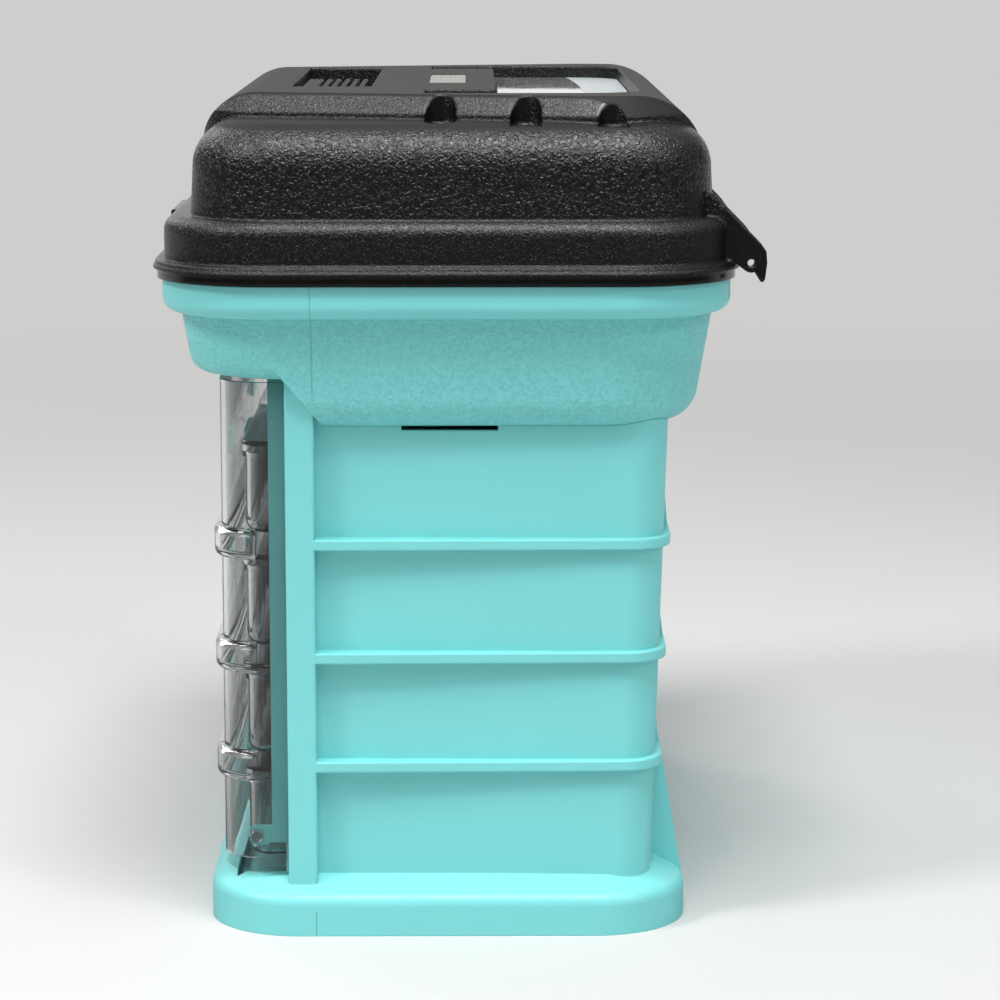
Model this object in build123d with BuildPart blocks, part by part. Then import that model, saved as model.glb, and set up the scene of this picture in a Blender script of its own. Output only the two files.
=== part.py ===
from build123d import *
import os

os.makedirs("parts", exist_ok=True)

# Craft storage rack, in millimetres.
# X runs across the rack, the clear door faces -Y, the lid hinge is at +Y and +Z is up.
# The origin is the middle of the face that the base rests on.

# Base
base_half_width = 131
base_half_depth = 75.8
base_corner = 29
skirt_height = 12
base_top = 17.4
base_slope_side = 10.5
base_slope_front = 4.5
base_slope_rear = 9.5
base_wall = 2.6
base_edge_round = 4
underside_height = 11
floor_thickness = 2.6
sill_depth = 9

# Side and rear walls of the rack; "past" is how far a cut runs beyond a face
wall = 2.2
past = 1
half_width_front = 119.2
half_width_rear = 121.2
wall_front = -55.5
wall_rear_top = 69.2
rear_draft = 4.5
rear_corner = 11
tub_floor = 160.5
raised_floor = 176
step_slope = 0.8

# Posts beside the door and the bands round the walls
post_front = -50.1
post_width = 9.1
post_reach = 5.8
post_round = 0.8
rib_thickness = 3.4
rib_bottoms = (51.3, 86.1, 122.1)
rib_reach_rear = 2.3
rib_round = 0.5
gusset_width = 10
gusset_at = 92
gusset_rise = (16, 13, 13)
base_gusset_top = 55

# Front door
door_front = -71
door_wall = 1.6
door_corner = 13
door_bottom = 23
door_foot = 19.9
door_top = 174.5
door_side_gap = 1.4
door_step = -59.5
bulge_height = 10
bulge_reach = 2.2
bulge_round = 2.1
pivot_to_face = 11
pivot_radius = 1.8
pivot_bite = 1
pivot_ear_radius = 3.1
lip_clearance = 1.4
running_gap = 0.06
seat_gap = 0.3

# Utility boxes
box_half_width = 116
box_front = -64.5
box_rear = 59.7
box_height = 29.4
box_wall = 1.5
box_corner = 6
box_rim = 1.2
box_lid_height = 3.6
box_bottom_round = 4
box_lid_round = 1
box_lid_seat = 0.2
rail_width = 7
divider_thickness = 1.2
divider_pitch = 58
divider_count = 3
divider_guide = 0.9
divider_play = 0.2
guide_reach = 1.2
guide_drop = 2
divider_drop = 1.5
clip_width = 24
clip_at = 68
clip_drop = 9.5
clip_thickness = 1.6
clip_bite = 0.8
clip_gap = 0.2

# Top tub
tub_half_width = 133
tub_half_depth = 83.4
tub_corner = 34
tub_wall = 2.6
tub_taper = 10
tub_round = 11
tub_front_round = 6
rim_bottom = 195.7
rim_top = 206
rim_reach_side = 7
rim_reach_end = 5.1
rim_corner = 34
rim_round = 4.5
snap_slot_front = -14
snap_slot_rear = 16
snap_slot_height = 1.2
snap_slot_cut = 8

# Lid
lid_wall = 2.4
lid_bottom = rim_top + seat_gap
flange_reach_side = 3
flange_reach_end = 2.5
flange_corner = 35
band_height = 3
band_inset = 1.2
bead_height = 1.3
bead_round = 0.6
skirt_base = 212
skirt_top = 225.6
skirt_step_side = 3
skirt_step_end = 2.7
skirt_middle = 0.7
skirt_corner = 33
skirt_round = 4.5
dome_step_side = 4
dome_front = -79.2
dome_rear = 82.8
dome_corner = 27
dome_top = 254.6
dome_taper = 3
dome_round = 14
tier_half_front = 92
tier_half_rear = 134
tier_front = -77.5
tier_rear = 80.5
tier_corner_front = 20
tier_corner_rear = 32
tier_top = 262.3
tier_front_round = 18
tier_rear_round = 22
tier_lean = 37
tier_lean_height = 6
tier_edge_round = 0.8
tier_side_wall = 9
tier_end_wall = 4
deck_thickness = 2.6

# Grip well in the deck
well_front = -51
well_rear = -24.5
well_left = -83
well_right = 57
well_ramp_end = -2
well_depth = 9
well_rib_count = 6
well_rib_pitch = 3
well_rib_width = 1.3
well_rib_broad = 2.8
well_rib_sunk = 0.3

# Window, its compartment and its cover
window_half_width = 100
window_front = 15.5
window_rear = 61
window_corner = 18
slot_half_inner = 77
slot_front = -7
cover_thickness = 2
cover_drop = 4.2
cover_gap = 0.5
compartment_depth = 18
compartment_corner = 4
ledge_width = 3
cover_pin_y = -2.6
cover_pin_radius = 1.1
cover_pin_length = 6
hinge_pocket_depth = 3.4
pocket_length = 9.5
badge_front = -6.5
badge_rear = 6
badge_length = 64
badge_depth = 0.8
badge_gap = 0.2
badge_sunk = 0.3

# Scallops in the side of the deck
scallop_at = (-1.8, 24.4, 51.1)
scallop_radius = 4.9
scallop_reach = 8
scallop_depth = 1.3

# Lid hinge
hinge_y = 93.9
hinge_z = 211.3
hinge_pin_radius = 1.15
ear_thickness = 4
outer_ear_at = 118.5
knuckle_at = 56
knuckle_width = 14
lug_radius = 3.4
ear_ramp = ((-16.1, 22.5), (-12.3, 21.5), (2.8, 6.2), (4.6, 3.6), (4.9, 0))
ear_stop = ((4.3, -5), (3.7, -5.9), (2.9, -5.8), (0.9, -2.6))
ear_under = ((2.5, -2.4),)
ear_back = ((-2.2, -2.1), (-4.5, -0.4), (-8, 0.2), (-16.1, 0.7))

# Lid latch
latch_width = 40
latch_pin_inset = 4.4
latch_pin_z = 218
latch_pin_radius = 1.2
latch_thickness = 2.4
latch_bottom = 196.6
latch_reach = 4.7
latch_boss = 6
catch_reach = 1.6
catch_width = 28
catch_sunk = 3
catch_height = 2.4
catch_low = 199.2
latch_recess = 7.7
hook_height = 2

rib_tops = [bottom + rib_thickness for bottom in rib_bottoms]
post_rear = post_front + post_width
post_half_width = half_width_front + post_reach
floor_top = underside_height + floor_thickness
door_half_width = half_width_front + door_side_gap + door_wall
pivot_y = door_front + pivot_to_face
pivot_z = base_top + pivot_to_face + lip_clearance
foot_reach = ((post_front - seat_gap - pivot_y) ** 2 + (pivot_z - door_foot) ** 2) ** 0.5
first_rail_top = pivot_z - pivot_to_face + door_wall + 3 * seat_gap
rail_tops = [first_rail_top] + rib_tops
cover_top = tier_top - cover_drop
cover_bottom = cover_top - cover_thickness
cover_pin_z = (cover_top + cover_bottom) / 2
recess_floor = cover_bottom - seat_gap
cover_reach = window_front - cover_pin_y
cover_front_gap = (cover_reach ** 2 + (tier_top - cover_pin_z) ** 2) ** 0.5 - cover_reach + seat_gap
rim_half_width = tub_half_width + rim_reach_side
rim_half_depth = tub_half_depth + rim_reach_end
flange_half_width = rim_half_width + flange_reach_side
flange_half_depth = rim_half_depth + flange_reach_end
skirt_half_width = flange_half_width - skirt_step_side
skirt_half_depth = flange_half_depth - skirt_step_end
dome_half_width = skirt_half_width - dome_step_side
latch_front = -rim_half_depth - latch_reach
latch_pin_y = latch_pin_inset - rim_half_depth
latch_back = latch_recess - rim_half_depth
catch_root = catch_sunk - rim_half_depth
lug_width = knuckle_width - 2 * ear_thickness - 2 * seat_gap


def rear_wall_at(height):
    """Outer face of the rear wall, which leans back towards the top."""
    return wall_rear_top - rear_draft * (tub_floor - height) / (tub_floor - base_top)


def edges_at(part, height):
    """All edges that lie flat at one height."""
    return part.edges().filter_by(
        lambda edge: abs(edge.bounding_box().min.Z - height) < 0.01
        and abs(edge.bounding_box().max.Z - height) < 0.01
    )


def wall_outline(height, inset, front, extra_front=0, extra_rear=0):
    """Plan outline of the rack's walls, a little wider at the rear."""
    rear = rear_wall_at(height) - inset + extra_rear
    near = half_width_front - inset + extra_front
    far = half_width_rear - inset + extra_rear
    with BuildSketch(Plane.XY.offset(height)) as outline:
        with BuildLine():
            Polyline((-near, front), (near, front), (far, rear), (-far, rear), close=True)
        make_face()
        fillet(outline.vertices().group_by(Axis.Y)[-1], rear_corner - inset + extra_rear)
    return outline.sketch


def rounded_plate(height, half_width, front, rear, corner):
    """Rounded rectangle in plan between a front and a rear line."""
    with BuildSketch(Plane.XY.offset(height)) as outline:
        with Locations((0, (front + rear) / 2)):
            RectangleRounded(2 * half_width, rear - front, corner)
    return outline.sketch


def slab_across(points, at_x, width, mode=Mode.ADD):
    """Add or cut a slab of one width across X, from an outline of Y and Z points."""
    with BuildSketch(Plane.YZ.offset(at_x - width / 2)) as outline:
        with BuildLine():
            Polyline(*points, close=True)
        make_face()
    extrude(outline.sketch, amount=width, mode=mode)


def round_across(at_x, width, centre_y, centre_z, radius, mode=Mode.ADD):
    """Add or cut a round bar or bore along X."""
    with BuildSketch(Plane.YZ.offset(at_x - width / 2)) as outline:
        with Locations((centre_y, centre_z)):
            Circle(radius)
    extrude(outline.sketch, amount=width, mode=mode)


def tub_form(inset, floor_lift, bottom_round, front_round):
    """Tapered tub with a raised front part that clears the door, rounded there on the outside."""
    low = tub_floor + floor_lift
    high = raised_floor + floor_lift
    step_front = post_front + inset
    step_rear = post_front + (raised_floor - tub_floor) * step_slope + inset
    with BuildPart() as form:
        add(rounded_plate(rim_bottom, tub_half_width - inset, inset - tub_half_depth,
                          tub_half_depth - inset, tub_corner - inset))
        extrude(amount=low - rim_bottom, taper=tub_taper)
        fillet(edges_at(form, low), bottom_round)
        slab_across([(-rim_half_depth, high), (step_front, high), (step_rear, low),
                     (step_rear, low - past), (-rim_half_depth, low - past)],
                    0, 2 * rim_half_width, Mode.SUBTRACT)
        if front_round:
            fillet(edges_at(form, high).filter_by(
                lambda edge: edge.bounding_box().min.Y < step_front - seat_gap), front_round)
    return form.part


def slab_along(points, rear, width, mode=Mode.ADD):
    """Add or cut a slab of one width along Y, from an outline of X and Z points."""
    with BuildSketch(Plane.XZ.offset(-rear)) as outline:
        with BuildLine():
            Polyline(*points, close=True)
        make_face()
    extrude(outline.sketch, amount=width, mode=mode)


def block(left, right, front, rear, low, high, mode=Mode.ADD):
    """Add or cut a plain block between six limits."""
    with Locations(((left + right) / 2, (front + rear) / 2, (low + high) / 2)):
        Box(right - left, rear - front, high - low, mode=mode)


def tier_half_at(y):
    """Half width of the raised deck, which widens towards the rear."""
    share = (y - tier_front) / (tier_rear - tier_front)
    return tier_half_front + share * (tier_half_rear - tier_half_front)


def tier_plan(height, side_inset, end_inset):
    """Plan of the raised deck at one height."""
    with BuildSketch(Plane.XY.offset(height)) as plan:
        with BuildLine():
            Polyline((side_inset - tier_half_front, tier_front + end_inset),
                     (tier_half_front - side_inset, tier_front + end_inset),
                     (tier_half_rear - side_inset, tier_rear - end_inset),
                     (side_inset - tier_half_rear, tier_rear - end_inset), close=True)
        make_face()
        fillet(plan.vertices().group_by(Axis.Y)[-1], tier_corner_rear - side_inset)
        fillet(plan.vertices().group_by(Axis.Y)[0], tier_corner_front - side_inset)
    return plan.sketch


def tier_form(side_inset, end_inset, high, lean, edge_round):
    """Raised deck, with sides that lean in near the top, rounded down at both ends."""
    low = tier_top - tier_rear_round - past
    with BuildPart() as form:
        add(tier_plan(low, side_inset, end_inset))
        extrude(amount=high - tier_lean_height - low)
        add(tier_plan(high - tier_lean_height, side_inset, end_inset))
        extrude(amount=tier_lean_height, taper=lean)
        if edge_round:
            fillet(edges_at(form, high), edge_round)
        with BuildSketch(Plane.YZ.offset(-tier_half_rear)) as ends:
            with BuildLine():
                Polyline((tier_front + end_inset, low), (tier_rear - end_inset, low),
                         (tier_rear - end_inset, high), (tier_front + end_inset, high), close=True)
            make_face()
            fillet(ends.vertices().group_by(Axis.Y)[-1].sort_by(Axis.X)[0], tier_front_round - end_inset)
            fillet(ends.vertices().group_by(Axis.Y)[-1].sort_by(Axis.X)[-1], tier_rear_round - end_inset)
        extrude(ends.sketch, amount=2 * tier_half_rear, mode=Mode.INTERSECT)
    return form.part


def hinge_ear(at_x, with_stop):
    """Ear on the lid's rear, with a ramp up to the dome, and a stop tab on the outer ones."""
    outline = ear_ramp + (ear_stop if with_stop else ear_under) + ear_back
    points = [(hinge_y + y, hinge_z + z) for y, z in outline]
    slab_across(points, at_x, ear_thickness)
    round_across(at_x, ear_thickness, hinge_y, hinge_z, lug_radius - 0.4)
    round_across(at_x, ear_thickness + past, hinge_y, hinge_z, hinge_pin_radius, Mode.SUBTRACT)


def bulge_form(middle, inset):
    """Rounded band that swells out of the door's front and corners."""
    reach = bulge_reach - inset
    half_height = bulge_height / 2 - inset
    with BuildPart() as form:
        add(rounded_plate(middle - half_height, door_half_width + reach, door_front - reach,
                          -door_front, door_corner + reach))
        extrude(amount=2 * half_height)
        fillet(edges_at(form, middle - half_height) + edges_at(form, middle + half_height),
               bulge_round - inset / 2)
        block(-2 * door_half_width, 2 * door_half_width, door_step - inset, -2 * door_front,
              0, door_top, Mode.SUBTRACT)
    return form.part


def dome_form(inset):
    """Rounded dome of the lid, which leans in a little towards its top."""
    with BuildPart() as form:
        add(rounded_plate(skirt_top - 1 - inset, dome_half_width - inset, dome_front + inset,
                          dome_rear - inset, dome_corner - inset))
        extrude(amount=dome_top - skirt_top + past, taper=dome_taper)
        fillet(edges_at(form, dome_top - inset), dome_round - inset)
    return form.part


def tray_form(inset, low, high, bottom_round):
    """Round-cornered tray with its bottom edges rounded."""
    with BuildPart() as form:
        add(rounded_plate(low, box_half_width - box_rim - inset, box_front + box_rim + inset,
                          box_rear - box_rim - inset, box_corner - inset))
        extrude(amount=high - low)
        fillet(edges_at(form, low), bottom_round)
    return form.part


tub_outside = tub_form(0, 0, tub_round, tub_front_round)

# Rack body: base, walls, posts, bands and rails in one moulding
with BuildPart() as rack_body:
    add(rounded_plate(0, base_half_width, -base_half_depth, base_half_depth, base_corner))
    extrude(amount=skirt_height)
    add(rounded_plate(skirt_height, base_half_width, -base_half_depth, base_half_depth, base_corner))
    add(rounded_plate(base_top, base_half_width - base_slope_side, base_slope_front - base_half_depth,
                      base_half_depth - base_slope_rear, base_corner - base_slope_side))
    loft()
    fillet(edges_at(rack_body, skirt_height), base_edge_round)
    # Walls up into the underside of the tub
    add(wall_outline(floor_top, 0, wall_front))
    add(wall_outline(raised_floor, 0, wall_front))
    loft()
    # Bands round the walls
    for bottom in rib_bottoms:
        add(wall_outline(bottom, 0, post_rear - 2, post_reach, rib_reach_rear))
        band = extrude(amount=rib_thickness)
        outer_edges = rack_body.edges().filter_by(
            lambda edge: bottom - 0.01 < edge.bounding_box().min.Z
            and edge.bounding_box().max.Z < bottom + rib_thickness + 0.01
            and edge.bounding_box().max.Z - edge.bounding_box().min.Z < 0.01
        )
        far_edges = outer_edges.filter_by(
            lambda edge: abs(edge.center().X) > half_width_rear + 1.5
            or edge.center().Y > rear_wall_at(bottom) + rib_reach_rear - 0.6
        )
        fillet(far_edges, rib_round)
    # Posts beside the door
    for side in (-1, 1):
        with BuildSketch(Plane.XY.offset(floor_top)) as post:
            with Locations((side * (half_width_front - wall + post_half_width) / 2,
                            (post_front + post_rear) / 2)):
                Rectangle(post_half_width - half_width_front + wall, post_width)
            fillet(post.vertices().filter_by(lambda corner: abs(corner.X) > half_width_rear), post_round)
        extrude(amount=raised_floor - floor_top)
    # Gussets on the rear face
    for side in (-1, 1):
        for bottom, rise in zip(rib_bottoms, reversed(gusset_rise)):
            low = bottom + rib_thickness / 2
            top = bottom + rib_thickness + rise
            slab_across([(rear_wall_at(top) - wall / 2, top), (rear_wall_at(top), top),
                         (rear_wall_at(low) + rib_reach_rear - 0.2, low),
                         (rear_wall_at(low) - wall / 2, low)], side * gusset_at, gusset_width)
        slab_across([(rear_wall_at(base_gusset_top) - wall / 2, base_gusset_top),
                     (rear_wall_at(base_gusset_top) + rib_reach_rear - 0.2, base_gusset_top),
                     (base_half_depth - 0.6, skirt_height),
                     (rear_wall_at(skirt_height) - wall / 2, skirt_height)],
                    side * gusset_at, gusset_width)
    # Inside, open to the front behind a low sill
    add(wall_outline(floor_top, wall, sill_depth - base_half_depth))
    add(wall_outline(raised_floor + past, wall, sill_depth - base_half_depth))
    loft(mode=Mode.SUBTRACT)
    add(tub_outside, mode=Mode.SUBTRACT)
    # Hollow under the floor, with one rib each way
    add(rounded_plate(0, base_half_width - base_wall, base_wall - base_half_depth,
                      base_half_depth - base_wall, base_corner - base_wall))
    extrude(amount=underside_height, mode=Mode.SUBTRACT)
    with BuildSketch(Plane.XY):
        Rectangle(2 * base_half_width - base_wall, base_wall)
        Rectangle(base_wall, 2 * base_half_depth - base_wall)
    extrude(amount=underside_height)
    # Rails for the boxes
    for side in (-1, 1):
        for top in rail_tops:
            with BuildSketch(Plane.XY.offset(top - rib_thickness)):
                with Locations((side * (half_width_front - wall / 2 - rail_width / 2),
                                (post_front + box_rear) / 2)):
                    Rectangle(rail_width + wall, box_rear - post_front)
            extrude(amount=rib_thickness)
        # Forward ear with an open slot for the door's pivot
        with BuildSketch(Plane.YZ.offset(side * (half_width_front - wall / 2) - wall / 2)):
            with BuildLine():
                Polyline((wall_front + 1, pivot_z - pivot_ear_radius),
                         (pivot_y, pivot_z - pivot_ear_radius),
                         (pivot_y, pivot_z + pivot_ear_radius),
                         (wall_front + 1, pivot_z + pivot_ear_radius), close=True)
            make_face()
            with Locations((pivot_y, pivot_z)):
                Circle(pivot_ear_radius)
                Circle(pivot_radius + running_gap, mode=Mode.SUBTRACT)
            with Locations((pivot_y - pivot_ear_radius / 2, pivot_z)):
                Rectangle(pivot_ear_radius + 0.02, 2 * (pivot_radius + running_gap),
                          mode=Mode.SUBTRACT)
        extrude(amount=wall)
        # Notch in the wall's front edge where the foot of the open door comes to lie
        notch_at = side * (half_width_front - wall / 2)
        block(notch_at - wall, notch_at + wall, wall_front - past, post_front - past,
              base_top, pivot_z - pivot_radius - 0.5, Mode.SUBTRACT)
        # Pocket inside the post where the foot of the door swings
        foot_at = side * (door_half_width - door_wall / 2)
        block(foot_at - door_wall, foot_at + door_wall, post_front - past, pivot_y + foot_reach + seat_gap,
              door_foot - past, 2 * pivot_z - door_foot + past, Mode.SUBTRACT)
        # Snap slot between the wall and the tub
        with Locations((side * half_width_rear, (snap_slot_front + snap_slot_rear) / 2, tub_floor)):
            Box(snap_slot_cut, snap_slot_rear - snap_slot_front, 2 * snap_slot_height, mode=Mode.SUBTRACT)
rack_body.part.label = "rack_body"
export_step(rack_body.part, "parts/rack_body.step")

# Top tub with its rim, hinge lugs and catch
with BuildPart() as top_tub:
    add(tub_outside)
    add(rounded_plate(rim_bottom, rim_half_width, -rim_half_depth, rim_half_depth, rim_corner))
    extrude(amount=rim_top - rim_bottom)
    rim_edges = edges_at(top_tub, rim_bottom).filter_by(
        lambda edge: abs(edge.center().X) > tub_half_width + 1 or abs(edge.center().Y) > tub_half_depth + 1
    )
    fillet(rim_edges, rim_round)
    for side in (-1, 1):
        round_across(side * knuckle_at, lug_width, hinge_y, hinge_z, lug_radius)
        slab_across([(rim_half_depth - 3, rim_bottom + 3), (rim_half_depth, rim_bottom + 2.5),
                     (hinge_y + 0.6, hinge_z - lug_radius),
                     (hinge_y - lug_radius * 0.8, hinge_z - 0.4),
                     (rim_half_depth - 0.2, hinge_z - 9), (rim_half_depth - 3, hinge_z - 9)],
                    side * knuckle_at, lug_width)
    slab_across([(catch_root, catch_low), (-rim_half_depth - catch_reach, catch_low),
                 (-rim_half_depth - catch_reach, catch_low + catch_height),
                 (catch_root, catch_low + catch_height + catch_reach)], 0, catch_width)
    add(tub_form(tub_wall, tub_wall, tub_round - tub_wall, 0), mode=Mode.SUBTRACT)
    add(rounded_plate(rim_bottom, tub_half_width - tub_wall, tub_wall - tub_half_depth,
                      tub_half_depth - tub_wall, tub_corner - tub_wall))
    extrude(amount=rim_top - rim_bottom, mode=Mode.SUBTRACT)
    round_across(0, 2 * outer_ear_at, hinge_y, hinge_z, hinge_pin_radius + running_gap, Mode.SUBTRACT)
top_tub.part.label = "top_tub"
export_step(top_tub.part, "parts/top_tub.step")

# Lid: flange, skirt, dome and raised deck in one moulding
with BuildPart() as lid:
    add(rounded_plate(lid_bottom, flange_half_width - band_inset, band_inset - flange_half_depth,
                      flange_half_depth - band_inset, flange_corner - band_inset))
    extrude(amount=band_height)
    add(rounded_plate(lid_bottom + band_height, flange_half_width, -flange_half_depth,
                      flange_half_depth, flange_corner))
    extrude(amount=bead_height)
    fillet(edges_at(lid, lid_bottom + band_height + bead_height), bead_round)
    add(rounded_plate(lid_bottom + band_height + bead_height, flange_half_width - bead_round,
                      bead_round - flange_half_depth, flange_half_depth - bead_round,
                      flange_corner - bead_round))
    extrude(amount=skirt_base - lid_bottom - band_height - bead_height)
    fillet(edges_at(lid, skirt_base), bead_round)
    add(rounded_plate(skirt_base, skirt_half_width, skirt_middle - skirt_half_depth,
                      skirt_middle + skirt_half_depth, skirt_corner))
    extrude(amount=skirt_top - skirt_base)
    fillet(edges_at(lid, skirt_top), skirt_round)
    add(dome_form(0))
    add(tier_form(0, 0, tier_top, tier_lean, tier_edge_round))
    for y in scallop_at:
        for side in (-1, 1):
            with BuildSketch(Plane.XY.offset(dome_top - scallop_depth)):
                with Locations((side * (tier_half_at(y) + scallop_reach / 2), y)):
                    SlotCenterToCenter(scallop_reach, 2 * scallop_radius)
            extrude(amount=tier_top - dome_top + scallop_depth + past, mode=Mode.SUBTRACT)
    # Hollow inside
    add(rounded_plate(lid_bottom, skirt_half_width - lid_wall, skirt_middle - skirt_half_depth + lid_wall,
                      skirt_middle + skirt_half_depth - lid_wall, skirt_corner - lid_wall))
    extrude(amount=skirt_top - lid_wall - lid_bottom, mode=Mode.SUBTRACT)
    add(dome_form(lid_wall), mode=Mode.SUBTRACT)
    add(tier_form(tier_side_wall, tier_end_wall, tier_top - deck_thickness, 0, 0), mode=Mode.SUBTRACT)
    # Walls that hang from the deck round the grip well, the window and the cover's pivots
    deck_under = tier_top - deck_thickness
    block(well_left - lid_wall, well_right + lid_wall, well_front - lid_wall, well_rear + lid_wall,
          tier_top - well_depth - lid_wall, deck_under + 1)
    block(-window_half_width - lid_wall, window_half_width + lid_wall, window_front - lid_wall,
          window_rear + lid_wall, recess_floor - compartment_depth - lid_wall, deck_under + 1)
    for side in (-1, 1):
        block(min(side * (slot_half_inner - lid_wall), side * (window_half_width + cover_pin_length)),
              max(side * (slot_half_inner - lid_wall), side * (window_half_width + cover_pin_length)),
              slot_front - lid_wall, window_front, recess_floor - hinge_pocket_depth - lid_wall,
              deck_under + 1)
    # Grip well with its ribbed ramp
    slab_along([(well_left, tier_top + past), (well_left, tier_top - well_depth),
                (well_ramp_end, tier_top - well_depth), (well_right, tier_top - 0.4),
                (well_right, tier_top + past)], well_rear, well_rear - well_front, Mode.SUBTRACT)
    fin = [(well_ramp_end, tier_top - well_depth - past), (well_right - 4, tier_top - 1.6),
           (well_right - 4, tier_top - well_rib_sunk), (well_ramp_end, tier_top - well_rib_sunk)]
    for index in range(well_rib_count):
        slab_along(fin, well_rear - (index + 1) * well_rib_pitch, well_rib_width)
    slab_along(fin, well_rear - (well_rib_count + 1) * well_rib_pitch + well_rib_width, well_rib_broad)
    # Window recess, side slots, pivot pockets and the small-parts compartment
    with BuildSketch(Plane.XY.offset(recess_floor)) as recess:
        with Locations((0, (window_front + window_rear) / 2)):
            Rectangle(2 * window_half_width, window_rear - window_front)
        fillet(recess.vertices().group_by(Axis.Y)[-1], window_corner)
        for side in (-1, 1):
            with Locations((side * (slot_half_inner + window_half_width) / 2,
                            (slot_front + window_front + 1) / 2)):
                Rectangle(window_half_width - slot_half_inner, window_front - slot_front + 1)
    extrude(amount=tier_top - recess_floor + 1, mode=Mode.SUBTRACT)
    with BuildSketch(Plane.XY.offset(recess_floor - compartment_depth)) as compartment:
        with Locations((0, (window_front + window_rear) / 2)):
            Rectangle(2 * (window_half_width - ledge_width), window_rear - window_front - 2 * ledge_width)
        fillet(compartment.vertices().group_by(Axis.Y)[-1], window_corner - ledge_width)
        fillet(compartment.vertices().group_by(Axis.Y)[0], compartment_corner)
    extrude(amount=compartment_depth, mode=Mode.SUBTRACT)
    for side in (-1, 1):
        with Locations((side * (slot_half_inner + window_half_width) / 2, slot_front + pocket_length / 2,
                        recess_floor - hinge_pocket_depth / 2)):
            Box(window_half_width - slot_half_inner, pocket_length, hinge_pocket_depth,
                mode=Mode.SUBTRACT)
        round_across(side * (window_half_width + (cover_pin_length - lid_wall) / 2),
                     cover_pin_length - lid_wall, cover_pin_y, cover_pin_z, cover_pin_radius,
                     Mode.SUBTRACT)
    # Bare recess for the badge plate
    block(-badge_length / 2, badge_length / 2, badge_front, badge_rear, tier_top - badge_depth,
          tier_top + past, Mode.SUBTRACT)
    # Hinge ears
    for side in (-1, 1):
        hinge_ear(side * outer_ear_at, True)
        for offset in (-1, 1):
            hinge_ear(side * (knuckle_at + offset * (knuckle_width - ear_thickness) / 2), False)
        # Notch in the flange for the tub's lug
        lug_space = knuckle_width / 2 - ear_thickness
        block(side * knuckle_at - lug_space, side * knuckle_at + lug_space, rim_half_depth,
              flange_half_depth + past, lid_bottom - past, skirt_base, Mode.SUBTRACT)
    # Front recess with the latch's bosses
    recess_half = latch_width / 2 + seat_gap
    block(-recess_half - lid_wall, recess_half + lid_wall, latch_back, latch_back + lid_wall,
          lid_bottom, skirt_top)
    block(-recess_half - latch_boss, recess_half + latch_boss, skirt_middle - skirt_half_depth + 1,
          latch_back + lid_wall, latch_pin_z - 5, latch_pin_z + 5)
    block(-recess_half, recess_half, latch_front - past, latch_back, lid_bottom - past, skirt_top + past,
          Mode.SUBTRACT)
    round_across(0, latch_width + 2 * latch_boss - 2, latch_pin_y, latch_pin_z, latch_pin_radius,
                 Mode.SUBTRACT)
lid.part.label = "lid"
export_step(lid.part, "parts/lid.step")

# Hinge pins, one in each inner knuckle
with BuildPart() as lid_hinge_pins:
    for side in (-1, 1):
        round_across(side * knuckle_at, knuckle_width, hinge_y, hinge_z, hinge_pin_radius)
lid_hinge_pins.part.label = "lid_hinge_pins"
export_step(lid_hinge_pins.part, "parts/lid_hinge_pins.step")

# Badge plate, left bare
with BuildPart() as badge_plate:
    block(badge_gap - badge_length / 2, badge_length / 2 - badge_gap, badge_front + badge_gap,
          badge_rear - badge_gap, tier_top - badge_depth, tier_top - badge_sunk)
badge_plate.part.label = "badge_plate"
export_step(badge_plate.part, "parts/badge_plate.step")

# Front latch with its hook, and the pin that it turns on
with BuildPart() as lid_latch:
    hook_tip = -rim_half_depth - catch_reach - seat_gap
    slab_across([(latch_front, latch_bottom), (hook_tip, latch_bottom),
                 (hook_tip, latch_bottom + hook_height),
                 (latch_front + latch_thickness, latch_bottom + hook_height + 0.2),
                 (latch_front + latch_thickness, latch_pin_z - 1.6),
                 (latch_pin_y, latch_pin_z - 1.6), (latch_pin_y, latch_pin_z + 1.5),
                 (latch_front, latch_pin_z + 1.5)], 0, latch_width)
    round_across(0, latch_width, latch_pin_y, latch_pin_z, latch_pin_radius + 1.6)
    round_across(0, latch_width + 2, latch_pin_y, latch_pin_z, latch_pin_radius + running_gap,
                 Mode.SUBTRACT)
    grip_edges = lid_latch.edges().filter_by(Axis.X).filter_by(
        lambda edge: edge.center().Y < latch_front + 0.1
    )
    fillet(grip_edges, 0.8)
lid_latch.part.label = "lid_latch"
export_step(lid_latch.part, "parts/lid_latch.step")

with BuildPart() as lid_latch_pin:
    round_across(0, latch_width + 2 * latch_boss - 2, latch_pin_y, latch_pin_z, latch_pin_radius)
lid_latch_pin.part.label = "lid_latch_pin"
export_step(lid_latch_pin.part, "parts/lid_latch_pin.step")

# Clear cover over the window, with an arm in each side slot
with BuildPart() as window_cover:
    with BuildSketch(Plane.XY.offset(cover_bottom)) as cover:
        with Locations((0, (window_front + cover_front_gap + window_rear - cover_gap) / 2)):
            Rectangle(2 * (window_half_width - cover_gap),
                      window_rear - cover_gap - window_front - cover_front_gap)
        fillet(cover.vertices().group_by(Axis.Y)[-1], window_corner - cover_gap)
        for side in (-1, 1):
            with Locations((side * (slot_half_inner + window_half_width) / 2,
                            (cover_pin_y + window_front + 2) / 2)):
                Rectangle(window_half_width - slot_half_inner - 2 * cover_gap,
                          window_front + 2 - cover_pin_y)
    extrude(amount=cover_thickness)
    for side in (-1, 1):
        at_x = side * (slot_half_inner + window_half_width) / 2
        arm_width = window_half_width - slot_half_inner - 2 * cover_gap
        round_across(at_x, arm_width, cover_pin_y, cover_pin_z, cover_pin_radius + 1.1)
        round_across(at_x, arm_width + 1, cover_pin_y, cover_pin_z, cover_pin_radius + running_gap,
                     Mode.SUBTRACT)
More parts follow.
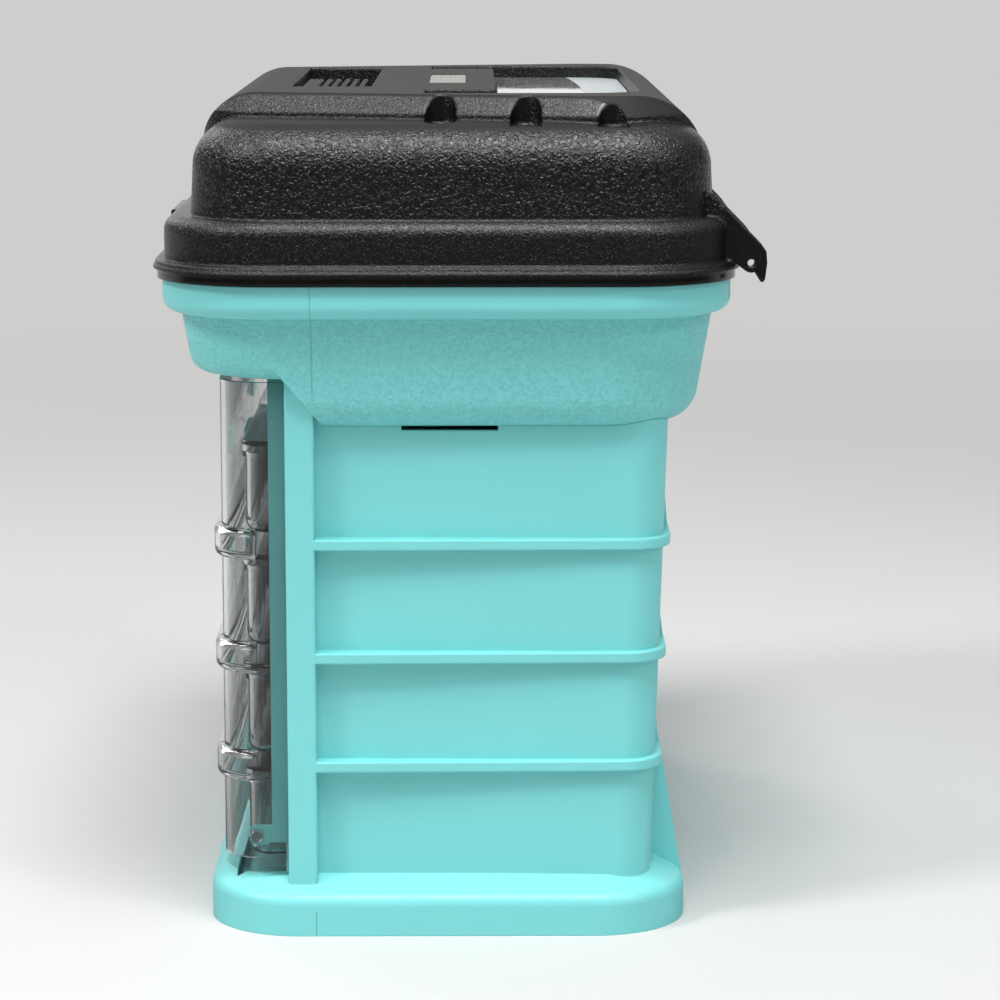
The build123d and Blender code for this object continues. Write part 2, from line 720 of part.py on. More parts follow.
window_cover.part.label = "window_cover"
export_step(window_cover.part, "parts/window_cover.step")

with BuildPart() as window_cover_pins:
    for side in (-1, 1):
        pin_inner = slot_half_inner + 3
        pin_outer = window_half_width + cover_pin_length - lid_wall
        round_across(side * (pin_inner + pin_outer) / 2, pin_outer - pin_inner, cover_pin_y, cover_pin_z,
                     cover_pin_radius)
window_cover_pins.part.label = "window_cover_pins"
export_step(window_cover_pins.part, "parts/window_cover_pins.step")

# Clear front door on its two pivots
with BuildPart() as front_door:
    door_rear = post_front - seat_gap
    add(rounded_plate(door_bottom, door_half_width, door_front, -door_front, door_corner))
    extrude(amount=door_top - door_bottom)
    for bottom in rib_bottoms:
        add(bulge_form(bottom + rib_thickness / 2, 0))
    add(rounded_plate(door_bottom, door_half_width - door_wall, door_front + door_wall,
                      -door_front - door_wall, door_corner - door_wall))
    extrude(amount=door_top - door_bottom, mode=Mode.SUBTRACT)
    for bottom in rib_bottoms:
        add(bulge_form(bottom + rib_thickness / 2, door_wall), mode=Mode.SUBTRACT)
    block(-2 * door_half_width, 2 * door_half_width, door_rear, -2 * door_front, 0, door_top + past,
          Mode.SUBTRACT)
    for side in (-1, 1):
        with Locations((side * (door_half_width - door_wall / 2),
                        (door_front + door_corner + door_rear) / 2, (door_foot + door_bottom + 1) / 2)):
            Box(door_wall, door_rear - door_front - door_corner, door_bottom + 1 - door_foot)
        round_across(side * (door_half_width - door_wall + pivot_bite - 1.5), 3, pivot_y, pivot_z,
                     pivot_radius + running_gap, Mode.SUBTRACT)
front_door.part.label = "front_door"
export_step(front_door.part, "parts/front_door.step")

with BuildPart() as door_pivots:
    for side in (-1, 1):
        pin_inner = half_width_front - wall + 0.1
        pin_outer = door_half_width - door_wall + pivot_bite - 0.1
        round_across(side * (pin_inner + pin_outer) / 2, pin_outer - pin_inner, pivot_y, pivot_z,
                     pivot_radius)
door_pivots.part.label = "door_pivots"
export_step(door_pivots.part, "parts/door_pivots.step")

# Four clear utility boxes, each with a tray, a lid, clips and dividers
for number, rail_top in enumerate(rail_tops, start=1):
    low = rail_top + seat_gap
    tray_top = low + box_height - box_lid_height
    divider_span = divider_pitch * (divider_count - 1)
    divider_places = [index * divider_pitch - divider_span / 2 for index in range(divider_count)]
    guide_places = [index * divider_pitch / 2 - divider_span * 3 / 4
                    for index in range(2 * divider_count + 1)]
    inner_front = box_front + box_rim + box_wall
    inner_rear = box_rear - box_rim - box_wall

    with BuildPart() as tray:
        add(tray_form(0, low, tray_top, box_bottom_round))
        add(rounded_plate(tray_top - box_wall, box_half_width, box_front, box_rear, box_corner + box_rim))
        extrude(amount=box_wall)
        add(tray_form(box_wall, low + box_wall, tray_top + past, box_bottom_round - box_wall),
            mode=Mode.SUBTRACT)
        for place in guide_places:
            for side in (-1, 1):
                middle = place + side * (divider_thickness + divider_guide + 2 * divider_play) / 2
                for front, rear in ((inner_front - divider_play, inner_front + guide_reach),
                                    (inner_rear - guide_reach, inner_rear + divider_play)):
                    block(middle - divider_guide / 2, middle + divider_guide / 2, front, rear,
                          low + box_wall, tray_top - guide_drop)
    tray.part.label = f"box_{number}_tray"
    export_step(tray.part, f"parts/box_{number}_tray.step")

    with BuildPart() as box_lid:
        add(rounded_plate(tray_top + box_lid_seat, box_half_width, box_front, box_rear, box_corner + box_rim))
        extrude(amount=box_lid_height - box_lid_seat)
        fillet(edges_at(box_lid, low + box_height), box_lid_round)
        add(rounded_plate(tray_top + box_lid_seat, box_half_width - box_wall, box_front + box_wall,
                          box_rear - box_wall, box_corner))
        extrude(amount=box_lid_height - box_lid_seat - box_wall, mode=Mode.SUBTRACT)
    box_lid.part.label = f"box_{number}_lid"
    export_step(box_lid.part, f"parts/box_{number}_lid.step")

    with BuildPart() as clips:
        clip_back = box_front - clip_gap
        clip_front = clip_back - clip_thickness
        clip_low = low + box_height - clip_drop
        clip_top = low + box_height - box_lid_round
        hook_top = tray_top - box_wall - seat_gap
        for side in (-1, 1):
            slab_across([(clip_front, clip_low), (box_front + clip_bite, clip_low),
                         (box_front + clip_bite, hook_top), (clip_back, hook_top),
                         (clip_back, clip_top), (clip_front, clip_top)],
                        side * clip_at, clip_width)
    clips.part.label = f"box_{number}_clips"
    export_step(clips.part, f"parts/box_{number}_clips.step")

    with BuildPart() as dividers:
        for place in divider_places:
            block(place - divider_thickness / 2, place + divider_thickness / 2,
                  inner_front + divider_play, inner_rear - divider_play, low + box_wall,
                  tray_top - divider_drop)
        fillet(dividers.edges().filter_by(Axis.X).group_by(Axis.Z)[0], box_bottom_round)
    dividers.part.label = f"box_{number}_dividers"
    export_step(dividers.part, f"parts/box_{number}_dividers.step")
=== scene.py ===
import math

import bmesh
import bpy
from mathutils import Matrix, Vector


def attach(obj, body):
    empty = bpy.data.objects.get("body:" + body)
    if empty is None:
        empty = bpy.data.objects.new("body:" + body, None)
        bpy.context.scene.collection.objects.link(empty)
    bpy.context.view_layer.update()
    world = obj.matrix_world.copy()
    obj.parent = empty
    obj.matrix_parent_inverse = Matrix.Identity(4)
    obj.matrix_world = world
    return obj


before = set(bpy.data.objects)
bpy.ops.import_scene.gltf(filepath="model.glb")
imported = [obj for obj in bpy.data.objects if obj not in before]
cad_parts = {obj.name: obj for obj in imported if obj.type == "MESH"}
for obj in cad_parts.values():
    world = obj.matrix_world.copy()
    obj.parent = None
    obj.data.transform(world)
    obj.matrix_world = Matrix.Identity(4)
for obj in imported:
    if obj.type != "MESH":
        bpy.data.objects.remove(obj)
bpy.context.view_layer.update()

# Camera: side view, seen from a little above, metres and degrees
CAMERA_PLACE = (1.163, 0.0093, 0.315)
CAMERA_PITCH = 9.665
CAMERA_YAW = 0.40
CAMERA_LENS = 122.4

# Colours, linear
TEAL = (0.205, 0.655, 0.655)
# Deeper teal used as painted shade in the tub grain's dips
TEAL_DIP_SHADE = (0.130, 0.500, 0.495)
BLACK = (0.0045, 0.0048, 0.0046)
# Lighter black painted on the up-facing deck and ledge faces as light from above
BLACK_DECK_PAINTED_LIGHT = (0.016, 0.0165, 0.0155)
CLEAR = (0.955, 0.975, 0.975)
CLEAR_BOX = (0.93, 0.96, 0.965)
FROST = (0.80, 0.86, 0.88)
BADGE = (0.170, 0.174, 0.162)
STEEL = (0.60, 0.60, 0.61)
TEAL_DUST = (0.75, 0.9, 0.9)
LID_DUST = (0.20, 0.21, 0.20)
FLOOR = (0.62, 0.615, 0.605)
WORLD_TINT = (0.93, 0.97, 1.0)

# Strength of the world as light
WORLD_LIGHT = 0.32

# Strengths that gloss sees: the room low and overhead, the backdrop, and the floor on the camera's side
GLOSS_LOW = 0.07
GLOSS_HIGH = 1.0
GLOSS_BACKDROP = 1.6
GLOSS_NEAR_FLOOR = 0.1
NEAR_FLOOR_SHARE = 0.75

# Lamps are aimed at this place, and the floor reaches this far each way, metres
LAMP_TARGET = (0.0, 0.0, 0.14)
FLOOR_HALF = 40.0

BOX_COUNT = 4

# Leather grain: sizes of its cells and heights of its bump, metres
TUB_GRAIN = 0.00125
TUB_GRAIN_HEIGHT = 0.00034
DOME_GRAIN = 0.00105
SKIRT_GRAIN = 0.00062
SKIRT_GRAIN_SHARE = 0.55
LID_GRAIN_HEIGHT = 0.00025

# Radii of the softened moulded edges, metres
TEAL_EDGE = 0.0006
LID_EDGE = 0.0015
FITTING_EDGE = 0.0005
BADGE_EDGE = 0.0003

# Levels and places that split the materials, metres
RIM_LOW = 0.1957
RIM_HALF = 0.140
RIM_ROUND = 0.0045
TUB_HALF = 0.133
TUB_SLOPE = math.tan(math.radians(10))
TUB_SIDE_LOW = 0.172
BASE_HALF = 0.131
BASE_SIDE = (0.0004, 0.0080)
RIM_TOP = 0.206
BAND_TOP = 0.2093
SKIRT_TOP = 0.2256
DOME_TOP = 0.2546
EAR_FRONT = 0.0855
COVER_FROST = 0.0455
COVER_FROST_BOW = 0.35
SCALLOPS = (-0.0018, 0.0244, 0.0511)
SCALLOP_RADIUS = 0.0049
SCALLOP_REACH = 0.008
TIER_FRONT = (-0.0775, 0.092)
TIER_REAR = (0.0805, 0.134)
TIER_LEAN = 0.0042
MOULD_LINE_Y = -0.0412
MOULD_LINE_HALF = 0.00022
MOULD_LINE_RISE = 0.00014


def put(tree, kind, inputs=None, **settings):
    """Add a shader node with its settings and its inputs."""
    node = tree.nodes.new("ShaderNode" + kind)
    for key, value in settings.items():
        setattr(node, key, value)
    for key, value in (inputs or {}).items():
        if isinstance(value, bpy.types.NodeSocket):
            tree.links.new(value, node.inputs[key])
        else:
            node.inputs[key].default_value = value
    return node


def calc(tree, operation, first, second=0.0):
    """One Math node."""
    return put(tree, "Math", {0: first, 1: second}, operation=operation).outputs[0]


def fade(tree, value, start, end, low=0.0, high=1.0):
    """Smooth step of a value from one number or socket to another."""
    inputs = {"Value": value, "From Min": start, "From Max": end, "To Min": low, "To Max": high}
    return put(tree, "MapRange", inputs, interpolation_type="SMOOTHSTEP").outputs["Result"]


def shade(colour, factor):
    """A colour made darker or brighter by one factor."""
    return [channel * factor for channel in colour]


def mix_colour(tree, factor, first, second):
    """Mix two colours, given as sockets or as three numbers."""
    node = put(tree, "Mix", data_type="RGBA")
    for index, value in ((0, factor), (6, first), (7, second)):
        if isinstance(value, bpy.types.NodeSocket):
            tree.links.new(value, node.inputs[index])
        elif index:
            node.inputs[index].default_value = (*value, 1)
        else:
            node.inputs[index].default_value = value
    return node.outputs[2]


def noise(tree, place, scale, detail=2.0, roughness=0.5, distortion=0.0):
    """Height of a noise pattern in the object's own space."""
    inputs = {"Vector": place, "Scale": scale, "Detail": detail, "Roughness": roughness,
              "Distortion": distortion}
    return put(tree, "TexNoise", inputs).outputs["Fac"]


def leather(tree, place, size):
    """Fine leather grain with cells of about one size, in metres, as a height from 0 to 1."""
    warp_scale = 0.45 / size
    warp_reach = 1.6 * size
    fold_scale = 0.75 / size
    shift = put(tree, "TexNoise", {"Vector": place, "Scale": warp_scale, "Detail": 1.0}).outputs["Color"]
    centred = put(tree, "VectorMath", {0: shift, 1: (-0.5, -0.5, -0.5)}, operation="ADD").outputs[0]
    scaled = put(tree, "VectorMath", {0: centred, "Scale": warp_reach}, operation="SCALE").outputs[0]
    warped = put(tree, "VectorMath", {0: place, 1: scaled}, operation="ADD").outputs[0]
    folds = fade(tree, noise(tree, warped, fold_scale, 3.0, 0.6, 0.3), 0.36, 0.64)
    cells = put(tree, "TexVoronoi", {"Vector": warped, "Scale": 1.0 / size, "Smoothness": 0.3},
                feature="SMOOTH_F1").outputs["Distance"]
    pebbles = fade(tree, cells, 0.62, 0.10)
    return calc(tree, "ADD", calc(tree, "MULTIPLY", folds, 0.45), calc(tree, "MULTIPLY", pebbles, 0.55))


def start_material(name):
    """Empty material with its tree, the place in the object's own space and its three numbers."""
    material = bpy.data.materials.new(name)
    material.use_nodes = True
    tree = material.node_tree
    tree.nodes.clear()
    place = put(tree, "TexCoord").outputs["Object"]
    parts = put(tree, "SeparateXYZ", {0: place})
    return material, tree, place, parts.outputs


def finish_material(tree, **inputs):
    """Principled shader on the surface output."""
    named = {key.replace("_", " "): value for key, value in inputs.items()}
    shader = put(tree, "BsdfPrincipled", named)
    put(tree, "OutputMaterial", {"Surface": shader.outputs[0]})


def bump(tree, height, distance, strength=1.0, below=None):
    """Bump of a height in metres, over another normal where one is given."""
    inputs = {"Height": height, "Distance": distance, "Strength": strength}
    if below is not None:
        inputs["Normal"] = below
    return put(tree, "Bump", inputs).outputs["Normal"]


def soft_edges(tree, radius):
    """Normals that round the moulded edges by a small radius."""
    return put(tree, "Bevel", {"Radius": radius}, samples=6).outputs["Normal"]


def specks(tree, place, density):
    """Sparse fine dust, from 0 to 1."""
    cells = put(tree, "TexVoronoi", {"Vector": place, "Scale": density}, feature="F1")
    keep = fade(tree, put(tree, "SeparateColor", {0: cells.outputs["Color"]}).outputs[0], 0.93, 0.95)
    return calc(tree, "MULTIPLY", fade(tree, cells.outputs["Distance"], 0.12, 0.05), keep)


def teal_plastic(name, grain):
    """Moulded teal plastic, smooth, or with leather grain below the rim."""
    material, tree, place, axis = start_material(name)
    cloud = noise(tree, place, 9.0, 3.0)
    tint = mix_colour(tree, fade(tree, cloud, 0.25, 0.75), shade(TEAL, 0.97), shade(TEAL, 1.02))
    normal = soft_edges(tree, TEAL_EDGE)
    ripple = noise(tree, place, 32.0, 2.0)
    normal = bump(tree, ripple, 0.0006, 0.25, normal)
    if grain:
        skin = leather(tree, place, TUB_GRAIN)
        mask = fade(tree, axis["Z"], RIM_LOW, RIM_LOW - 0.0006)
        height = calc(tree, "MULTIPLY", skin, mask)
        # Painted shade: the grain's dips are darkened toward a deeper teal, as if shaded in the hollows
        painted_dip_shade = calc(tree, "MULTIPLY", fade(tree, height, 0.45, 0.0, 0.0, 0.42), mask)
        tint = mix_colour(tree, painted_dip_shade, tint, TEAL_DIP_SHADE)
        normal = bump(tree, height, TUB_GRAIN_HEIGHT, 0.9, normal)
        rough = fade(tree, skin, 0.0, 1.0, 0.46, 0.36)
    else:
        fine = noise(tree, place, 1500.0, 2.0)
        normal = bump(tree, fine, 0.00002, 0.6, normal)
        rough = fade(tree, noise(tree, place, 60.0, 4.0, 0.6), 0.3, 0.7, 0.33, 0.42)
    dust = specks(tree, place, 260.0)
    tint = mix_colour(tree, calc(tree, "MULTIPLY", dust, 0.35), tint, TEAL_DUST)
    finish_material(tree, Base_Color=tint, Roughness=rough, Normal=normal, IOR=1.47, Specular_IOR_Level=0.42)
    return material


def facing_up(tree):
    """How far a surface faces up in the object's own space."""
    normal = put(tree, "NewGeometry").outputs["Normal"]
    turned = put(tree, "VectorTransform", {0: normal}, vector_type="NORMAL", convert_from="WORLD",
                 convert_to="OBJECT").outputs[0]
    return put(tree, "SeparateXYZ", {0: turned}).outputs["Z"]


def tier_edge(tree, y):
    """Half width of the raised deck's foot at a Y place, as a socket."""
    slope = (TIER_REAR[1] - TIER_FRONT[1]) / (TIER_REAR[0] - TIER_FRONT[0])
    widening = calc(tree, "MULTIPLY", calc(tree, "SUBTRACT", y, TIER_FRONT[0]), slope)
    return calc(tree, "ADD", widening, TIER_FRONT[1])


def scallop_mask(tree, across, axis):
    """One inside the scallops in the sides of the deck; across is measured from the deck's foot."""
    low = calc(tree, "MAXIMUM", calc(tree, "SUBTRACT", 0.0, across), 0.0)
    high = calc(tree, "MAXIMUM", calc(tree, "SUBTRACT", across, SCALLOP_REACH), 0.0)
    out_x = calc(tree, "ADD", low, high)
    mask = None
    for y in SCALLOPS:
        along = calc(tree, "SUBTRACT", axis["Y"], y)
        along_squared = calc(tree, "MULTIPLY", along, along)
        squares = calc(tree, "ADD", calc(tree, "MULTIPLY", out_x, out_x), along_squared)
        near = fade(tree, calc(tree, "SQRT", squares), SCALLOP_RADIUS + 0.0004, SCALLOP_RADIUS + 0.00015)
        mask = near if mask is None else calc(tree, "MAXIMUM", mask, near)
    return calc(tree, "MULTIPLY", mask, fade(tree, axis["Z"], DOME_TOP - 0.0022, DOME_TOP - 0.0012))


def lid_regions(tree, axis):
    """Masks of the lid: flat faces, grained faces, coarse grain, and what is above the band."""
    up = facing_up(tree)
    across = calc(tree, "SUBTRACT", calc(tree, "ABSOLUTE", axis["X"]), tier_edge(tree, axis["Y"]))
    on_dome = fade(tree, axis["Z"], SKIRT_TOP + 0.0002, SKIRT_TOP + 0.0018)
    on_tier = calc(tree, "MULTIPLY", fade(tree, axis["Z"], DOME_TOP - 0.0010, DOME_TOP),
                   fade(tree, across, 0.0012, 0.0002))
    above_band = fade(tree, axis["Z"], BAND_TOP - 0.0001, BAND_TOP + 0.0002)
    deck = calc(tree, "MULTIPLY", fade(tree, axis["Z"], DOME_TOP + 0.0005, DOME_TOP + 0.0015),
                fade(tree, up, 0.30, 0.42))
    deck = calc(tree, "MULTIPLY", deck, fade(tree, across, -TIER_LEAN + 0.0004, -TIER_LEAN - 0.0001))
    ledge = calc(tree, "MULTIPLY", fade(tree, up, 0.78, 0.93), fade(tree, across, 0.0, 0.0008))
    ledge = calc(tree, "MULTIPLY", ledge, fade(tree, axis["Z"], DOME_TOP - 0.0030, DOME_TOP - 0.0018))
    ears = fade(tree, axis["Y"], EAR_FRONT, EAR_FRONT + 0.0012)
    flat = calc(tree, "MAXIMUM", deck, ledge)
    smooth = calc(tree, "MAXIMUM", flat, calc(tree, "MAXIMUM", ears, scallop_mask(tree, across, axis)))
    grained = calc(tree, "MULTIPLY", calc(tree, "SUBTRACT", 1.0, smooth), above_band)
    coarse = calc(tree, "MULTIPLY", on_dome, calc(tree, "SUBTRACT", 1.0, on_tier))
    return flat, grained, coarse, above_band


def lid_plastic():
    """Black lid: coarse grain on the dome, fine on the skirt and deck sides, smooth elsewhere."""
    material, tree, place, axis = start_material("black_lid")
    flat, grained, coarse, above_band = lid_regions(tree, axis)
    grain = fade(tree, coarse, 0.0, 1.0, leather(tree, place, SKIRT_GRAIN), leather(tree, place, DOME_GRAIN))
    depth = fade(tree, coarse, 0.0, 1.0, SKIRT_GRAIN_SHARE, 1.0)
    height = calc(tree, "MULTIPLY", calc(tree, "MULTIPLY", grain, depth), grained)
    normal = soft_edges(tree, LID_EDGE)
    normal = bump(tree, noise(tree, place, 40.0, 2.0), 0.0004, 0.25, normal)
    normal = bump(tree, noise(tree, place, 1800.0, 2.0), 0.00003, 0.5, normal)
    normal = bump(tree, height, LID_GRAIN_HEIGHT, 1.0, normal)
    # Painted shade and highlight: the grain's hollows are darker and its raised tops lighter than the plain
    # black
    tint = mix_colour(tree, fade(tree, grain, 0.2, 0.9), shade(BLACK, 0.4), shade(BLACK, 2.2))
    # Painted light: the smooth up-facing deck and ledge faces get a lighter black, as if lit from above;
    # their smooth finish is real
    tint = mix_colour(tree, flat, tint, BLACK_DECK_PAINTED_LIGHT)
    dust = calc(tree, "MULTIPLY", specks(tree, place, 420.0), 0.4)
    tint = mix_colour(tree, dust, tint, LID_DUST)
    rough = fade(tree, grain, 0.1, 0.9, 0.34, 0.22)
    rough = fade(tree, flat, 0.0, 1.0, rough, 0.60)
    rough = fade(tree, above_band, 0.0, 1.0, 0.18, rough)
    shine = fade(tree, flat, 0.0, 1.0, 0.5, 0.2)
    finish_material(tree, Base_Color=tint, Roughness=rough, Normal=normal, IOR=1.5, Specular_IOR_Level=shine)
    return material


def black_plastic():
    """Smooth black plastic of the small lid fittings."""
    material, tree, place, axis = start_material("black_smooth")
    normal = bump(tree, noise(tree, place, 1400.0, 2.0), 0.00002, 0.5, soft_edges(tree, FITTING_EDGE))
    tint = mix_colour(tree, noise(tree, place, 60.0, 3.0), shade(BLACK, 0.8), shade(BLACK, 1.4))
    rough = fade(tree, noise(tree, place, 90.0, 4.0), 0.3, 0.7, 0.24, 0.36)
    finish_material(tree, Base_Color=tint, Roughness=rough, Normal=normal, IOR=1.5)
    return material


def clear_plastic(name, tint, smear):
    """Clear moulded plastic with faint flow ripples and smears."""
    material, tree, place, axis = start_material(name)
    flow = noise(tree, place, 55.0, 2.0, 0.5, 0.8)
    normal = bump(tree, flow, 0.0004, 0.18)
    rough = fade(tree, noise(tree, place, 26.0, 5.0, 0.65), 0.35, 0.8, 0.015, smear)
    colour = mix_colour(tree, fade(tree, flow, 0.2, 0.8), shade(tint, 0.985), tint)
    finish_material(tree, Base_Color=colour, Roughness=rough, Normal=normal, IOR=1.49,
                    Transmission_Weight=1.0)
    return material


def cover_plastic():
    """Clear cover with a frosted strip along its rear edge."""
    material, tree, place, axis = start_material("clear_cover")
    bow = calc(tree, "MULTIPLY", calc(tree, "MULTIPLY", axis["X"], axis["X"]), COVER_FROST_BOW)
    frost = fade(tree, calc(tree, "ADD", axis["Y"], bow), COVER_FROST, COVER_FROST + 0.0006)
    normal = bump(tree, noise(tree, place, 55.0, 2.0, 0.5, 0.8), 0.0003, 0.12)
    grit = calc(tree, "MULTIPLY", noise(tree, place, 2200.0, 2.0), frost)
    normal = bump(tree, grit, 0.00006, 0.8, normal)
    smears = fade(tree, noise(tree, place, 26.0, 5.0, 0.65), 0.35, 0.8, 0.02, 0.08)
    rough = fade(tree, frost, 0.0, 1.0, smears, 0.42)
    colour = mix_colour(tree, frost, CLEAR, FROST)
    clear = fade(tree, frost, 0.0, 1.0, 0.85, 0.70)
    finish_material(tree, Base_Color=colour, Roughness=rough, Normal=normal, IOR=1.58,
                    Transmission_Weight=clear)
    return material


def badge_plastic():
    """Plain light grey plate, finely brushed."""
    material, tree, place, axis = start_material("grey_badge")
    stretch = put(tree, "Mapping", {"Vector": place, "Scale": (12.0, 900.0, 900.0)}).outputs[0]
    brushed = noise(tree, stretch, 1.0, 3.0)
    tint = mix_colour(tree, brushed, shade(BADGE, 0.92), shade(BADGE, 1.06))
    normal = bump(tree, brushed, 0.00003, 0.5, soft_edges(tree, BADGE_EDGE))
    rough = fade(tree, brushed, 0.2, 0.8, 0.30, 0.42)
    finish_material(tree, Base_Color=tint, Roughness=rough, Normal=normal)
    return material


def pin_steel():
    """Drawn steel wire of the pins."""
    material, tree, place, axis = start_material("steel_pin")
    stretch = put(tree, "Mapping", {"Vector": place, "Scale": (30.0, 2500.0, 2500.0)}).outputs[0]
    drawn = noise(tree, stretch, 1.0, 3.0)
    tint = mix_colour(tree, drawn, shade(STEEL, 0.9), shade(STEEL, 1.05))
    rough = fade(tree, drawn, 0.2, 0.8, 0.26, 0.40)
    normal = bump(tree, drawn, 0.00001, 0.5)
    finish_material(tree, Base_Color=tint, Roughness=rough, Normal=normal, Metallic=1.0)
    return material


def floor_material():
    """Pale floor that keeps the shadow, plain away from the object, and dark to gloss on the near side."""
    material, tree, place, axis = start_material("pale_floor")
    flat = put(tree, "CombineXYZ", {"X": axis["X"], "Y": axis["Y"], "Z": 0.0}).outputs[0]
    away = put(tree, "VectorMath", {0: flat}, operation="LENGTH").outputs["Value"]
    ray = put(tree, "LightPath").outputs
    seen = calc(tree, "MAXIMUM", calc(tree, "MAXIMUM", ray["Is Camera Ray"], ray["Is Glossy Ray"]),
                ray["Is Transmission Ray"])
    far = calc(tree, "MULTIPLY", fade(tree, away, 0.35, 1.6), seen)
    near_side = calc(tree, "MULTIPLY", fade(tree, axis["X"], -0.6, 0.2), ray["Is Glossy Ray"])
    far = calc(tree, "MAXIMUM", far, calc(tree, "MULTIPLY", near_side, NEAR_FLOOR_SHARE))
    mottle = fade(tree, noise(tree, place, 3.0, 4.0), 0.3, 0.7, 0.98, 1.0)
    tone = put(tree, "VectorMath", {0: FLOOR, "Scale": mottle}, operation="SCALE").outputs[0]
    surface = put(tree, "BsdfPrincipled", {"Base Color": tone, "Roughness": 0.85, "Specular IOR Level": 0.2})
    strength = fade(tree, near_side, 0.0, 1.0, 1.0, GLOSS_NEAR_FLOOR)
    glow = put(tree, "Emission", {"Color": (*FLOOR, 1), "Strength": strength})
    blend = put(tree, "MixShader", {0: far, 1: surface.outputs[0], 2: glow.outputs[0]})
    put(tree, "OutputMaterial", {"Surface": blend.outputs[0]})
    return material


def set_world():
    """Even soft light, a pale backdrop for the camera and glass, and a room with a pale end for gloss."""
    world = bpy.data.worlds.new("studio")
    bpy.context.scene.world = world
    world.use_nodes = True
    tree = world.node_tree
    tree.nodes.clear()
    ray = put(tree, "LightPath").outputs
    seen = calc(tree, "MAXIMUM", ray["Is Camera Ray"], ray["Is Transmission Ray"])
    toward = put(tree, "SeparateXYZ", {0: put(tree, "TexCoord").outputs["Generated"]}).outputs
    room = fade(tree, toward["Z"], 0.10, 0.75, GLOSS_LOW, GLOSS_HIGH)
    backdrop = fade(tree, toward["X"], -0.80, -0.95)
    sky = calc(tree, "MAXIMUM", room, calc(tree, "MULTIPLY", backdrop, GLOSS_BACKDROP))
    light = put(tree, "Background", {"Color": (*WORLD_TINT, 1), "Strength": WORLD_LIGHT})
    shown = put(tree, "Background", {"Color": (*FLOOR, 1), "Strength": 1.0})
    gloss = put(tree, "Background", {"Color": (*FLOOR, 1), "Strength": sky})
    first = put(tree, "MixShader", {0: ray["Is Glossy Ray"], 1: light.outputs[0], 2: gloss.outputs[0]})
    blend = put(tree, "MixShader", {0: seen, 1: first.outputs[0], 2: shown.outputs[0]})
    put(tree, "OutputWorld", {"Surface": blend.outputs[0]})


def add_softbox(name, place, side, power, colour=(1, 1, 1)):
    """Square softbox that faces the lamps' target."""
    data = bpy.data.lights.new(name, "AREA")
    data.shape = "SQUARE"
    data.size = side
    data.energy = power
    data.color = colour
    lamp = bpy.data.objects.new(name, data)
    bpy.context.scene.collection.objects.link(lamp)
    lamp.location = place
    lamp.rotation_euler = (Vector(LAMP_TARGET) - Vector(place)).to_track_quat("-Z", "Y").to_euler()


def add_camera():
    """Camera at the photograph's place and angle."""
    data = bpy.data.cameras.new("camera")
    data.sensor_width = 36.0
    data.lens = CAMERA_LENS
    data.clip_end = 100.0
    camera = bpy.data.objects.new("camera", data)
    bpy.context.scene.collection.objects.link(camera)
    camera.location = CAMERA_PLACE
    camera.rotation_euler = (math.radians(90 - CAMERA_PITCH), 0, math.radians(90 - CAMERA_YAW))
    bpy.context.scene.camera = camera


def add_floor():
    """Large plain floor."""
    mesh = bpy.data.meshes.new("floor")
    half = FLOOR_HALF
    corners = [(-half, -half, 0), (half, -half, 0), (half, half, 0), (-half, half, 0)]
    mesh.from_pydata(corners, [], [(0, 1, 2, 3)])
    floor = bpy.data.objects.new("floor", mesh)
    bpy.context.scene.collection.objects.link(floor)
    floor.data.materials.append(floor_material())


def mould_line_paths():
    """Places across X and up Z, with outward directions, of the mould's parting line on one side."""
    rim = [(RIM_HALF, RIM_TOP - 0.0002, 1, 0)]
    centre_x = RIM_HALF - RIM_ROUND
    centre_z = RIM_LOW + RIM_ROUND
    for step in range(6):
        turn = math.radians(15 * step)
        rim.append((centre_x + RIM_ROUND * math.cos(turn), centre_z - RIM_ROUND * math.sin(turn),
                    math.cos(turn), -math.sin(turn)))
    tub = [(TUB_HALF - (RIM_LOW - z) * TUB_SLOPE, z, 1, -TUB_SLOPE) for z in (RIM_LOW, TUB_SIDE_LOW)]
    base = [(BASE_HALF, z, 1, 0) for z in BASE_SIDE]
    return rim, tub, base


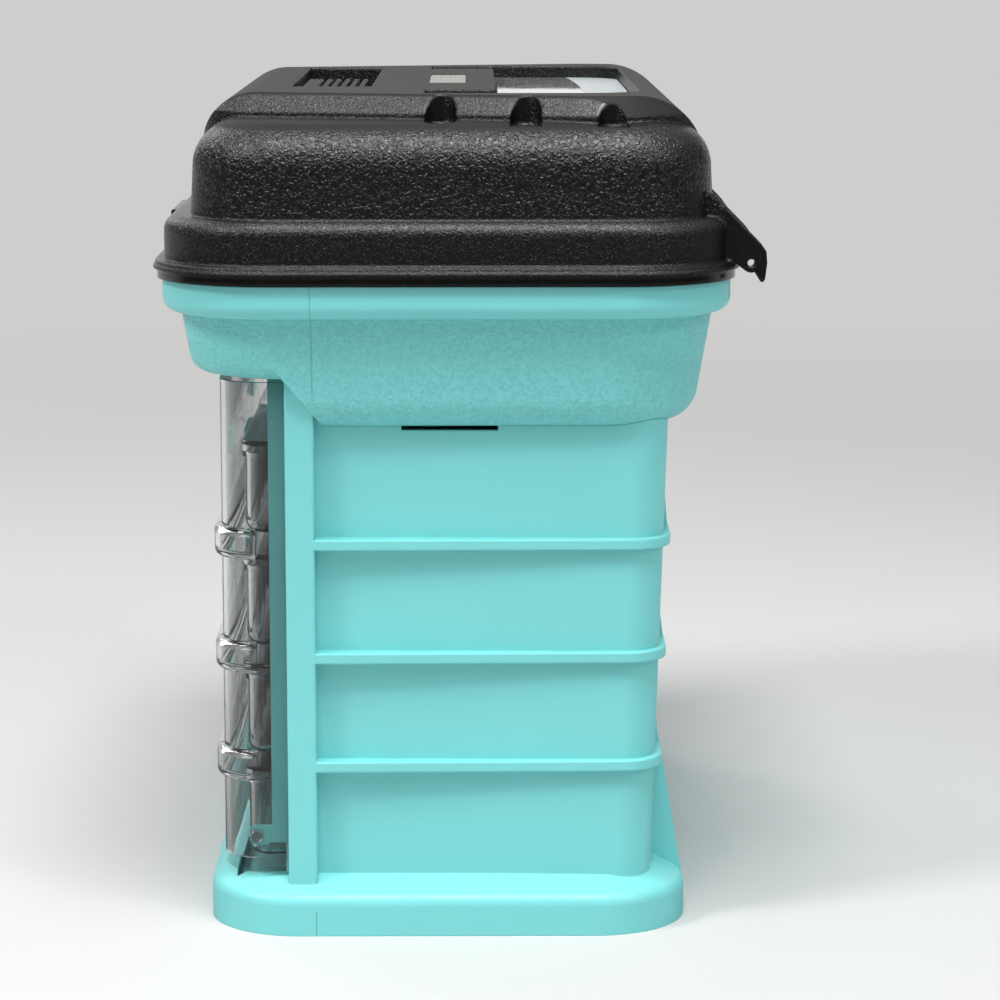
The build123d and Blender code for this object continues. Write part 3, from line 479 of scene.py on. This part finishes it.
def add_mould_lines(material):
    """Thin ridge that the mould's halves leave down both sides of the rack."""
    shape = bmesh.new()
    for side in (-1, 1):
        for path in mould_line_paths():
            rings = []
            for x, z, out_x, out_z in path:
                places = ((-0.5, -MOULD_LINE_HALF), (1, 0), (-0.5, MOULD_LINE_HALF))
                rings.append([shape.verts.new((side * (x + rise * MOULD_LINE_RISE * out_x), MOULD_LINE_Y + y,
                                               z + rise * MOULD_LINE_RISE * out_z)) for rise, y in places])
            for first, second in zip(rings, rings[1:]):
                for index in range(3):
                    after = (index + 1) % 3
                    shape.faces.new((first[index], first[after], second[after], second[index]))
            shape.faces.new(rings[0])
            shape.faces.new(rings[-1])
    bmesh.ops.recalc_face_normals(shape, faces=shape.faces)
    mesh = bpy.data.meshes.new("mould_lines")
    shape.to_mesh(mesh)
    shape.free()
    lines = bpy.data.objects.new("mould_lines", mesh)
    bpy.context.scene.collection.objects.link(lines)
    mesh.materials.append(material)
    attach(lines, "rack")


def dress(node, material):
    """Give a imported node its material."""
    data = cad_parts[node].data
    if not data.materials:
        data.materials.append(material)
    for index in range(len(data.materials)):
        data.materials[index] = material


bpy.context.scene.view_settings.view_transform = "Standard"
add_camera()
set_world()
add_floor()
add_softbox("key_left", (0.95, -1.55, 1.75), 0.55, 26.0, (1.0, 0.99, 0.97))
add_softbox("fill_right", (1.3, 1.35, 1.45), 0.45, 9.0, (0.97, 0.99, 1.0))
add_softbox("top", (0.62, 0.05, 1.70), 0.75, 27.0)
add_softbox("rear_left", (-1.4, -1.2, 1.2), 0.8, 7.0)

teal_shell = teal_plastic("teal_shell", False)
teal_tub = teal_plastic("teal_tub", True)
small_black = black_plastic()
steel = pin_steel()
clear_door = clear_plastic("clear_door", CLEAR, 0.06)
clear_box = clear_plastic("clear_box", CLEAR_BOX, 0.10)

dress("rack_body", teal_shell)
dress("top_tub", teal_tub)
dress("lid", lid_plastic())
dress("lid_latch", small_black)
dress("badge_plate", badge_plastic())
for pin in ("lid_hinge_pins", "lid_latch_pin", "window_cover_pins"):
    dress(pin, steel)
dress("window_cover", cover_plastic())
dress("front_door", clear_door)
dress("door_pivots", clear_door)
for number in range(1, BOX_COUNT + 1):
    for part in ("tray", "lid", "dividers"):
        dress(f"box_{number}_{part}", clear_box)
    dress(f"box_{number}_clips", teal_shell)

add_mould_lines(teal_shell)
